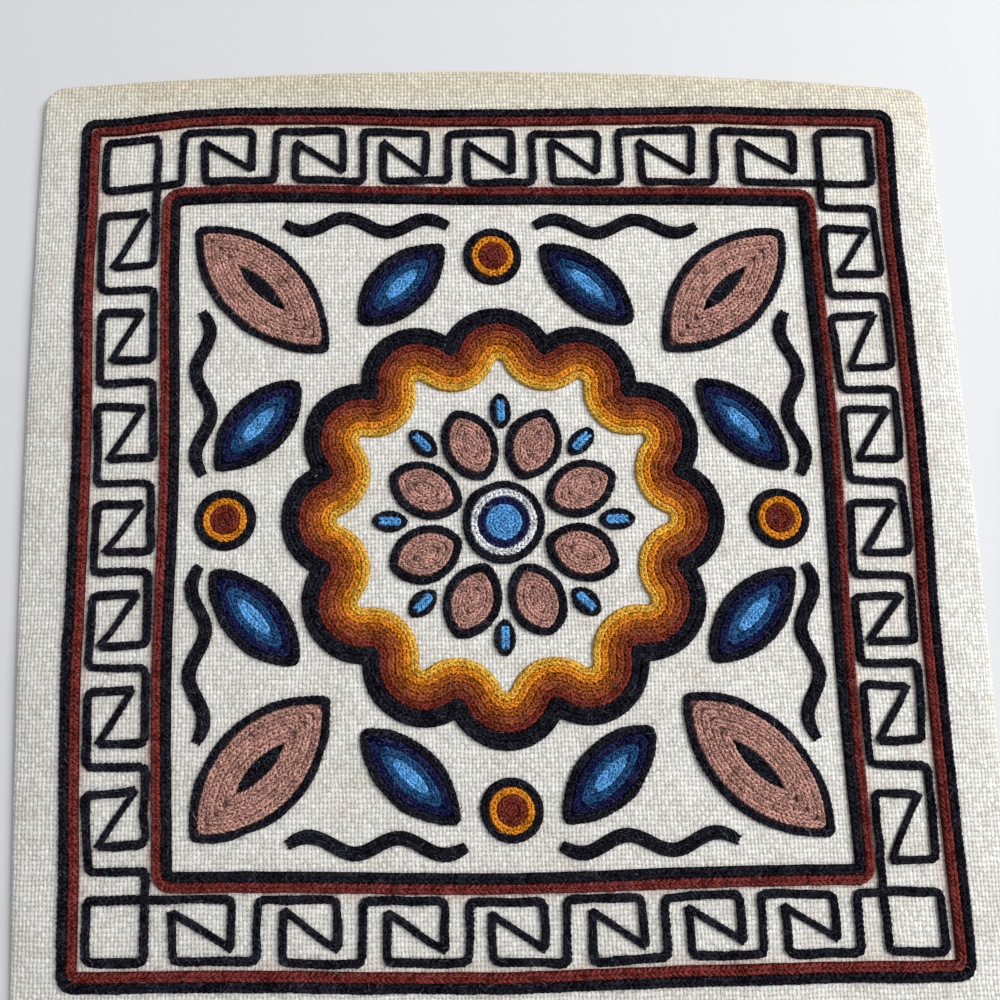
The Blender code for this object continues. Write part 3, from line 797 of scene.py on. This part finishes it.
def cloth_material():
    """Coarse undyed plain weave: proud warp, slubs, faint stains, specks and dye bleed; thread tops
    painted lighter and the gaps and furrows between threads painted darker as shade.
    """
    shader = Shader("cloth_weave")
    uv = shader.node("ShaderNodeUVMap", {"uv_map": "weave"}).outputs["UV"]
    placed = uv
    for scale, detail, move in THREAD_DRIFTS:
        noise = shader.node("ShaderNodeTexNoise", Vector=uv, Scale=scale, Detail=detail)
        inputs = {"i0": noise.outputs["Color"], "i1": (move, move, 0.0), "i2": placed}
        placed = shader.node("ShaderNodeVectorMath", {"operation": "MULTIPLY_ADD"}, **inputs).outputs[0]
    parts = shader.node("ShaderNodeSeparateXYZ", Vector=placed)
    u, v = parts.outputs[0], parts.outputs[1]
    heights = []
    for along, across, (phase, low, high) in ((u, v, WARP_HEIGHT), (v, u, WEFT_HEIGHT)):
        number = shader.math("FLOOR", along)
        profile = shader.math("ABSOLUTE", shader.math("SINE", shader.math("MULTIPLY", along, math.pi)))
        profile = shader.math("POWER", profile, 0.7)
        turn = shader.math("MULTIPLY", shader.math("ADD", across, number), math.pi)
        over = shader.math("SINE", shader.math("ADD", turn, phase))
        over = shader.math("ADD", shader.math("MULTIPLY", over, 0.5), 0.5)
        over = shader.math("ADD", shader.math("MULTIPLY", over, high), low)
        stretched = shader.math("MULTIPLY", across, 0.35)
        slub_at = shader.node("ShaderNodeCombineXYZ", X=number, Y=stretched, Z=phase)
        slub = shader.noise(slub_at.outputs[0], 1.7, 2.0)
        weight = shader.math("ADD", shader.math("MULTIPLY", slub, 0.9), 0.55)
        heights.append(shader.math("MULTIPLY", shader.math("MULTIPLY", profile, over), weight))
    height = shader.math("MAXIMUM", heights[0], heights[1])
    furrow = shader.math("ABSOLUTE", shader.math("SINE", shader.math("MULTIPLY", v, math.pi)))
    furrow = shader.math("POWER", shader.math("SUBTRACT", 1.0, furrow), 1.5)
    height = shader.math("SUBTRACT", height, shader.math("MULTIPLY", furrow, FURROW_DEPTH))
    cell = shader.node("ShaderNodeCombineXYZ", X=shader.math("FLOOR", u), Y=shader.math("FLOOR", v))
    odd = shader.node("ShaderNodeTexWhiteNoise", Vector=cell.outputs[0]).outputs["Value"]
    inputs = {"i0": placed, "i1": (1.0, 0.85, 1.0)}
    stretch = shader.node("ShaderNodeVectorMath", {"operation": "MULTIPLY"}, **inputs)
    fine = shader.noise(stretch.outputs[0], 2.6, 3.0, 0.7)
    # The thread height sets the colour too: tops as painted highlight, gaps and furrows as painted shade.
    level = shader.math("MULTIPLY", height, HEIGHT_SHARE)
    level = shader.add_scaled(level, fine, 0.5, FINE_SHARE)
    level = shader.add_scaled(level, odd, 0.0, ODD_SHARE)
    shade = shader.window(level, *SHADE_LEVELS)
    base = linear(CLOTH)
    colour = shader.mix(shade, rgba(base * DARK_AND_SHADED_CLOTH), rgba(base * BRIGHT_AND_LIT_CLOTH))
    cloudy = shader.window(shader.noise(uv, 0.06, 3.0, 0.6), 0.50, 0.78)
    colour = shader.stained(colour, shader.math("MULTIPLY", cloudy, 0.35), (212, 202, 176))
    blush = shader.window(shader.noise(uv, 0.11, 2.0, 0.6), 0.50, 0.72)
    colour = shader.stained(colour, shader.math("MULTIPLY", blush, 0.28), (236, 212, 205))
    patchy = shader.math("POWER", shader.noise(uv, 0.18, 3.0, 0.6), 2.0)
    bleed = shader.math("MULTIPLY", shader.attribute("bleed"), patchy)
    colour = shader.stained(colour, shader.math("MULTIPLY", bleed, 1.5), (214, 160, 140))
    age = shader.math("MULTIPLY", shader.attribute("age"), 0.70)
    colour = shader.stained(colour, age, (238, 228, 198))
    specks = shader.node("ShaderNodeTexVoronoi", Vector=uv, Scale=0.09)
    speck = shader.window(specks.outputs["Distance"], 0.06, 0.015)
    colour = shader.stained(colour, shader.math("MULTIPLY", speck, 0.45), (190, 140, 95))
    relief = shader.math("ADD", height, shader.math("MULTIPLY", fine, 0.35))
    shader.surface.inputs["Sheen Weight"].default_value = 0.12
    return shader.finish(colour, relief, CLOTH_BUMP, 0.95, 0.12)


# ---------------------------------------------------------------- cloth sheets

SEAM_HEIGHT = 1.7 * MM
SEAM_GROOVE = 0.15 * MM
ROLL = 2.4 * MM
AGE_EDGE = 8.0 * MM
AGE_LENGTH = 22.0 * MM
BLEED_REACH = 5.0 * MM
# Grid spacing and thickness of the sheets; a thickness below 0 is laid face down.
FRONT_SHEET = (3.5 * MM, 1.0 * MM)
BACK_SHEET = (9.0 * MM, -0.9 * MM)
EDGE_LINES = np.array((0.0, 0.12, 0.45, 1.0, 1.7, 2.4, 3.6, 5.5, 8.0, 11.0)) * MM


def grid_lines(half, spacing):
    """Places of grid lines on one axis: close together at the edge, even inside."""
    inner = half - EDGE_LINES[-1]
    middle = np.linspace(-inner, inner, int(2 * inner / spacing) + 1)
    return np.concatenate([-half + EDGE_LINES[:-1], middle, (half - EDGE_LINES[:-1])[::-1]])


def outline_place(x, y):
    """Grid points on the bowed outline with round corners, and their distance to the edge."""
    u, v = x / HALF_WIDTH, y / HALF_HEIGHT
    x_half = HALF_WIDTH - SIDE_BOW * v * v
    y_half = half_height(x, y)
    x, y = u * x_half, v * y_half
    over_x = np.abs(x) - (x_half - CORNER_RADIUS)
    over_y = np.abs(y) - (y_half - CORNER_RADIUS)
    at_corner = (over_x > 0) & (over_y > 0)
    reach = np.maximum(over_x, over_y)
    shrink = np.where(at_corner, reach / np.maximum(np.hypot(over_x, over_y), 1e-9), 1.0)
    new_x = np.where(at_corner, np.sign(x) * (x_half - CORNER_RADIUS + over_x * shrink), x)
    new_y = np.where(at_corner, np.sign(y) * (y_half - CORNER_RADIUS + over_y * shrink), y)
    inset = np.where(at_corner, CORNER_RADIUS - reach, np.minimum(x_half - np.abs(x), y_half - np.abs(y)))
    return new_x, new_y, np.maximum(inset, 0.0)


def sheet_object(name, height, spacing, thickness, near_wool=None):
    """One cloth sheet: a grid on the outline; only the front has wool near it and has aged."""
    xs, ys = grid_lines(HALF_WIDTH, spacing), grid_lines(HALF_HEIGHT, spacing)
    columns, rows = np.meshgrid(xs, ys)
    x, y, inset = outline_place(columns.ravel(), rows.ravel())
    z = height(x, y, inset)
    wide, tall = len(xs), len(ys)
    corner = (np.arange(tall - 1)[:, None] * wide + np.arange(wide - 1)[None, :]).ravel()
    faces = np.stack([corner, corner + 1, corner + wide + 1, corner + wide], 1)
    if thickness < 0:
        faces = faces[:, ::-1]
    mesh = bpy.data.meshes.new(name)
    mesh.from_pydata(np.stack([x + SKEW * y, y, z], 1).tolist(), [], faces.tolist())
    mesh.shade_smooth()
    loops = np.empty(len(mesh.loops), np.int32)
    mesh.loops.foreach_get("vertex_index", loops)
    weave = np.stack([x / WARP_PITCH, y / WEFT_PITCH], 1)
    mesh.uv_layers.new(name="weave").data.foreach_set("uv", weave[loops].astype(np.float32).ravel())
    bleed = np.zeros(len(x)) if near_wool is None else near_wool(x, y)
    from_top = np.maximum(0.0, HALF_HEIGHT - AGE_EDGE - y)
    age = np.zeros(len(x)) if near_wool is None else np.exp(-from_top / AGE_LENGTH)
    for attribute, values in (("bleed", bleed), ("age", age)):
        layer = mesh.attributes.new(attribute, "FLOAT", "POINT")
        layer.data.foreach_set("value", values.astype(np.float32))
    mesh.materials.append(cloth)
    piece = bpy.data.objects.new(name, mesh)
    bpy.context.scene.collection.objects.link(piece)
    solid = piece.modifiers.new("thickness", "SOLIDIFY")
    solid.thickness = abs(thickness)
    solid.offset = -1.0
    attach(piece, "root")
    return piece


def front_height(x, y, inset):
    """The front rises from the seam in a small roll, then lies as the solids do."""
    top = cloth_top(x, y)
    share = np.clip(inset / ROLL, 0.0, 1.0)
    roll = np.sqrt(1.0 - (1.0 - share) ** 2)
    return SEAM_HEIGHT + SEAM_GROOVE + (top - SEAM_HEIGHT - SEAM_GROOVE) * roll


def back_height(x, y, inset):
    """The back lies flat and rolls up to the seam at its edge."""
    share = np.clip(inset / ROLL, 0.0, 1.0)
    roll = 1.0 - np.sqrt(1.0 - (1.0 - share) ** 2)
    return (SEAM_HEIGHT - SEAM_GROOVE) * roll


# ---------------------------------------------------------------- the embroidery

wools = {}
red_lines = []


def wool(name, colour, replaces=()):
    """The wool piece of that name, made when first asked for."""
    if name not in wools:
        wools[name] = Wool(name, colour, replaces)
    return wools[name]


def lay(piece, line, closed, width, lift=None, packed=False):
    """Sew one row, and remember where the red ones lie."""
    piece.row(line, closed, width, lift, packed)
    if piece.colour == "red":
        red_lines.append(sewn(line, closed, 2.0 * MM)[0])


def numbered(stem, count):
    """Node names stem_1 to stem_count."""
    return [f"{stem}_{index + 1}" for index in range(count)]


def filled_leaf(start, end, half, outline, fills):
    """A leaf: a black outline row, then rows inwards, one colour for each fill piece."""
    lay(outline, lens(start, end, half, OUTLINE_ROW / 2), True, OUTLINE_ROW)
    room = half - OUTLINE_ROW
    count = max(1, round(room / FILL_ROW))
    width = room / count
    for index in range(count):
        inset = OUTLINE_ROW + (index + 0.5) * width
        fill = fills[min(index, len(fills) - 1)]
        line = lens(start, end, half, inset)
        lay(fill, line, True, width * FILL_OVERLAP, packed=True)
        # A strip under the fill rows, its wool darkened as painted shade.
        reach = 0.6 if index else 1.0
        outer = lens(start, end, half, inset - reach * width, LENS_STEPS)
        inner = lens(start, end, half, min(inset + 0.6 * width, half - 0.1 * MM), LENS_STEPS)
        fill.band(hand_sway(outer), hand_sway(inner), True)


def crossing_lift(x, y):
    """The key's second pass over itself rides on the first at each corner crossing."""
    rise = np.zeros_like(x)
    for sign_x in (-1, 1):
        for sign_y in (-1, 1):
            corner_x = sign_x * (KEY_INNER_RAIL - FRAME_NARROWER)
            corner_y = sign_y * KEY_INNER_RAIL
            place = hand_sway(np.array([[corner_x, corner_y]]))[0]
            off_x, off_y = np.abs(x - place[0]), np.abs(y - place[1])
            aside, off = (off_x, off_y) if sign_x * sign_y > 0 else (off_y, off_x)
            hump = CROSSING_RISE * np.exp(-(off / CROSSING_REACH) ** 2)
            rise += np.where(aside < CROSSING_HALF, hump, 0.0)
    return rise


def sew_border():
    """Frame lines and the running key."""
    for name, colour, y_half, radius in FRAMES:
        piece = wool(f"{name}_wool", colour, [name])
        lay(piece, frame_line(y_half, radius), True, FRAME_ROW, packed=True)
    for side, rows in zip(("top", "right", "bottom", "left"), key_border()):
        piece = wool(f"key_{side}_wool", "black", [f"key_{side}"])
        for line, width in rows:
            lay(piece, line, False, width, crossing_lift)


def sew_flower():
    """Centre disc, petals, seeds and the lobed ring."""
    outline = wool("flower_outline_wool", "black")
    lay(outline, circle((0, 0), CENTRE_RADIUS - OUTLINE_ROW / 2), True, OUTLINE_ROW)
    for colour, radius in CENTRE_ROWS:
        nodes = ["flower_centre"] if colour == "light_blue" else ()
        piece = wool(f"centre_{colour}_wool", colour, nodes)
        lay(piece, circle((0, 0), radius), True, FILL_ROW * FILL_OVERLAP, packed=True)
    pink = wool("petals_wool", "pink", numbered("petal", PETALS))
    seeds = wool("seeds_wool", "light_blue", numbered("seed", PETALS))
    for index in range(PETALS):
        angle = math.tau * index / PETALS
        turn = angle + math.pi / PETALS
        direction = np.array((math.cos(turn), math.sin(turn)))
        start, end, half = PETAL
        filled_leaf(direction * start, direction * end, half, outline, [pink])
        direction = np.array((math.cos(angle), math.sin(angle)))
        start, end, half = SEED
        lay(outline, lens(direction * start, direction * end, half, SEED_INSET), True, SEED_ROW)
        core = np.linspace(start + SEED_CORE_START, end - SEED_CORE_START, 12)[:, None] * direction
        lay(seeds, core, False, SEED_CORE_ROW, packed=True)
    nodes = {"black": ["rosette_black"], "rust": ["rosette_rust"], "amber": ["rosette_amber"]}
    for colour, inset in ROSETTE_ROWS:
        piece = wool(f"rosette_{colour}_wool", colour, nodes.get(colour, ()))
        width = ROSETTE_OUTLINE_ROW if colour == "black" else FILL_ROW * FILL_OVERLAP
        lay(piece, rosette(inset), True, width, packed=True)
    bay = np.array(((ROSETTE_CUSP + BAY_OUT, 0.0), (ROSETTE_CUSP - BAY_IN, 0.0)))
    for index in range(ROSETTE_LOBES):
        line = turned(bay, (2 * index + 1) * math.pi / ROSETTE_LOBES)
        lay(wools["rosette_black_wool"], line, False, BAY_ROW, packed=True)


def sew_quarters():
    """In each quarter: the corner leaf, two blue leaves, a disc and two wavy lines."""
    outline = wool("quarters_outline_wool", "black")
    pink = wool("corner_leaves_wool", "pink", numbered("corner_leaf", 4))
    core = wool("corner_leaf_cores_wool", "black")
    blue_nodes = [f"blue_leaf_{number}{side}" for number in (1, 2, 3, 4) for side in "ab"]
    blues = [wool("blue_leaves_navy_wool", "navy"), wool("blue_leaves_wool", "blue", blue_nodes)]
    blues.append(wool("blue_leaves_light_wool", "light_blue"))
    amber = wool("discs_wool", "amber", numbered("disc", 4))
    maroon = wool("disc_cores_wool", "maroon")
    wave_nodes = [f"tendril_{number}{side}" for number in (1, 2, 3, 4) for side in "ab"]
    waves = wool("tendrils_wool", "black", wave_nodes)
    for quarter in range(4):
        diagonal = math.pi / 4 + quarter * math.pi / 2
        direction = np.array((math.cos(diagonal), math.sin(diagonal)))
        start, end, half = CORNER_LEAF
        filled_leaf(direction * start, direction * end, half, outline, [pink] * 4 + [core])
        for sign in (-1, 1):
            ends = []
            for distance, angle in (BLUE_LEAF_ROOT, BLUE_LEAF_TIP):
                turn = diagonal + sign * angle
                ends.append((distance * math.cos(turn), distance * math.sin(turn)))
            filled_leaf(ends[0], ends[1], BLUE_LEAF_HALF, outline, blues)
            for offset in (-TENDRIL_ROW / 2, TENDRIL_ROW / 2):
                lay(waves, tendril_line(quarter, sign, offset * 0.9), False, TENDRIL_ROW, packed=True)
        middle = turned(np.array([[DISC_AT, 0.0]]), quarter * math.pi / 2)[0]
        for colour, radius, width in DISC_ROWS:
            piece = {"black": outline, "amber": amber, "maroon": maroon}[colour]
            lay(piece, circle(middle, radius), True, width * DISC_OVERLAP, packed=True)


def red_nearness(x, y):
    """How close each place of the cloth is to red wool: 1 beside it, 0 from about 9 mm on."""
    points = np.concatenate(red_lines)
    tree = KDTree(len(points))
    for index, (px, py) in enumerate(points):
        tree.insert((px, py, 0.0), index)
    tree.balance()
    near = np.array([tree.find((px, py, 0.0))[2] for px, py in zip(x, y)])
    return np.exp(-((near / BLEED_REACH) ** 2))


# ---------------------------------------------------------------- stage, light and camera


def make_stage():
    """A plain pale floor."""
    bpy.ops.mesh.primitive_plane_add(size=6.0, location=(0.0, 0.0, -0.0002))
    floor = bpy.context.active_object
    floor.name = "floor"
    shader = Shader("floor_pale")
    shader.surface.inputs["Base Color"].default_value = (0.60, 0.60, 0.61, 1.0)
    shader.surface.inputs["Roughness"].default_value = 0.9
    floor.data.materials.append(shader.material)


def make_light(name, place, size, energy, colour=(1.0, 1.0, 1.0)):
    """A soft area light aimed at the cover."""
    lamp = bpy.data.lights.new(name, "AREA")
    lamp.shape = "RECTANGLE"
    lamp.size, lamp.size_y = size
    lamp.energy = energy
    lamp.color = colour
    item = bpy.data.objects.new(name, lamp)
    item.location = place
    bpy.context.scene.collection.objects.link(item)
    direction = -item.location
    item.rotation_euler = direction.to_track_quat("-Z", "Y").to_euler()


def make_world():
    """Even, pale surroundings."""
    world = bpy.data.worlds.new("studio")
    bpy.context.scene.world = world
    world.use_nodes = True
    background = world.node_tree.nodes["Background"]
    background.inputs["Color"].default_value = (0.92, 0.95, 1.0, 1.0)
    background.inputs["Strength"].default_value = 0.40


def make_camera():
    """Nearly straight above the cover, tilted a little towards its top edge."""
    camera = bpy.data.cameras.new("camera")
    camera.sensor_width = 36.0
    camera.lens = 27.04
    camera.clip_start = 0.01
    item = bpy.data.objects.new("camera", camera)
    item.location = (-5.4 * MM, -31.0 * MM, 356.5 * MM)
    item.rotation_euler = (math.radians(6.60), math.radians(-0.65), math.radians(-0.36))
    bpy.context.scene.collection.objects.link(item)
    bpy.context.scene.camera = item


# ---------------------------------------------------------------- put it together

sew_border()
sew_flower()
sew_quarters()
for piece in wools.values():
    piece.make()

cloth = cloth_material()
front = sheet_object("front_cloth", front_height, *FRONT_SHEET, red_nearness)
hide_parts("front_panel")
back = sheet_object("back_cloth", back_height, *BACK_SHEET)
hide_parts("back_panel")

make_stage()
make_world()
make_light("window", (1.65, 0.60, 1.45), (1.0, 1.2), 68.0)
make_light("fill", (-0.9, 0.2, 1.4), (1.2, 1.2), 2.5)
bpy.context.scene.view_settings.view_transform = "Standard"
make_camera()
